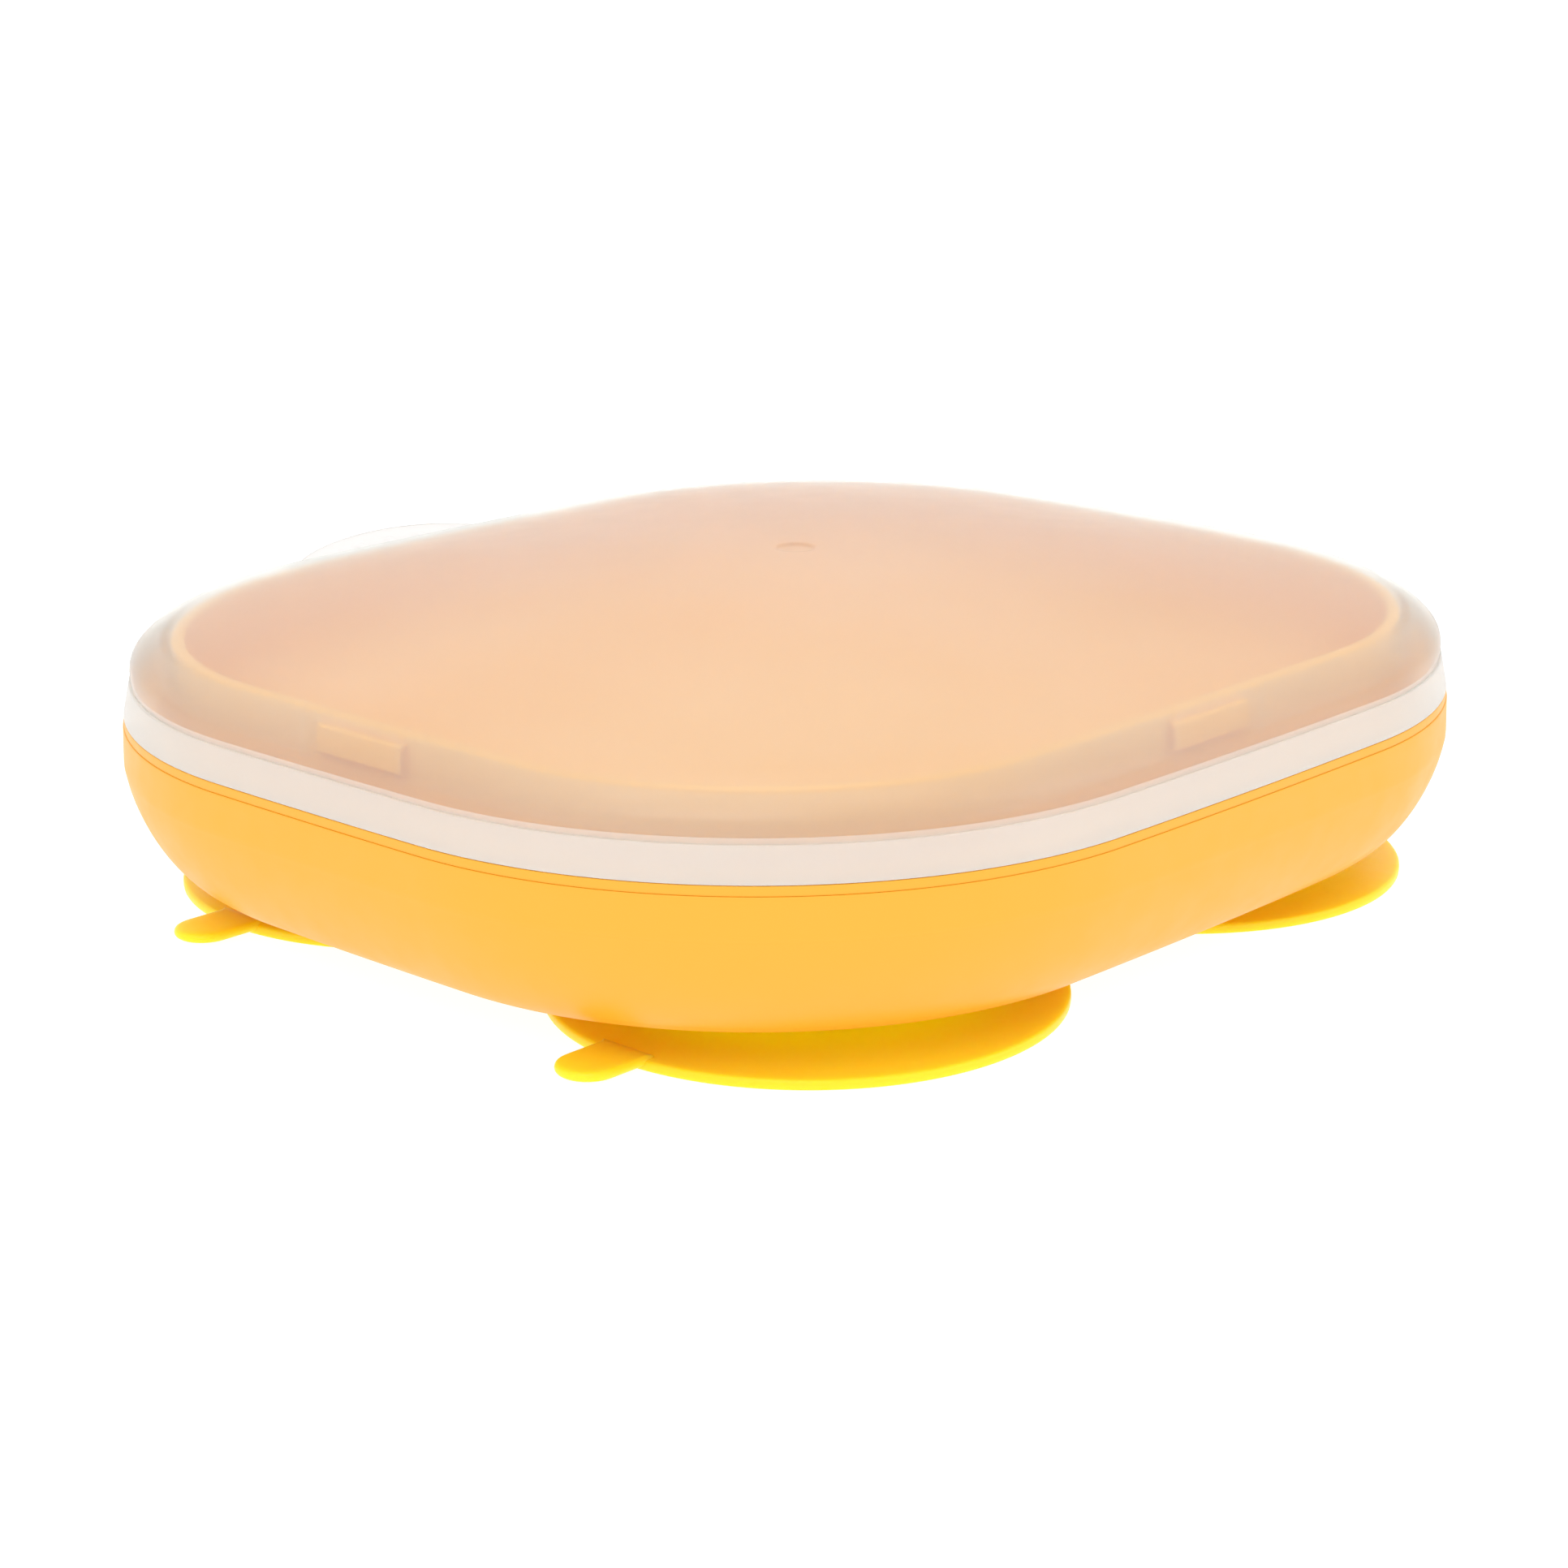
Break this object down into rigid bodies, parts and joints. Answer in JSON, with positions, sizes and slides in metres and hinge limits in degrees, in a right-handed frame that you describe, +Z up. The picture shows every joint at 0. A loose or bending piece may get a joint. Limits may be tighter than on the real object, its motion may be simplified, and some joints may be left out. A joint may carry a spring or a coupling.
{
  "type": "suction bowl",
  "caption": "Double-walled toddler's bowl on suction cups with pull tongues, closed by a frosted domed lid with a ribbed lift tab.",
  "frame": {"origin": "centre of the bowl on the table, in the plane of the suction cups' lips", "axes": "+Z up; +X along the bowl's long axis; +Y towards the side with the lid's pull tab"},
  "size_m": [0.1806, 0.174, 0.0478],
  "materials": {
    "frosted_lid": "frosted translucent polypropylene",
    "bowl_plastic": "satin moulded polypropylene",
    "cup_silicone": "soft translucent silicone"
  },
  "bodies": {
    "bowl": {"bowl_liner": "bowl_plastic", "outer_shell": "bowl_plastic"},
    "lid": {"lid": "frosted_lid"},
    "cup_front_left": {"suction_cup_front_left": "cup_silicone"},
    "cup_front_right": {"suction_cup_front_right": "cup_silicone"},
    "cup_back_left": {"suction_cup_back_left": "cup_silicone"},
    "cup_back_right": {"suction_cup_back_right": "cup_silicone"}
  },
  "joints": [
    {"name": "lid_lift", "type": "slide", "parent": "bowl", "child": "lid", "axis": [0, 0, 1], "range_m": [0, 0.06]},
    {"name": "cup_front_left_swivel", "type": "hinge", "parent": "bowl", "child": "cup_front_left", "pos_m": [-0.0391, -0.0377, 0.007], "axis": [0, 0, 1], "range_deg": [-60, 60]},
    {"name": "cup_front_right_swivel", "type": "hinge", "parent": "bowl", "child": "cup_front_right", "pos_m": [0.0391, -0.0377, 0.007], "axis": [0, 0, 1], "range_deg": [-60, 60]},
    {"name": "cup_back_left_swivel", "type": "hinge", "parent": "bowl", "child": "cup_back_left", "pos_m": [-0.0391, 0.0377, 0.007], "axis": [0, 0, 1], "range_deg": [-60, 60]},
    {"name": "cup_back_right_swivel", "type": "hinge", "parent": "bowl", "child": "cup_back_right", "pos_m": [0.0391, 0.0377, 0.007], "axis": [0, 0, 1], "range_deg": [-60, 60]}
  ]
}
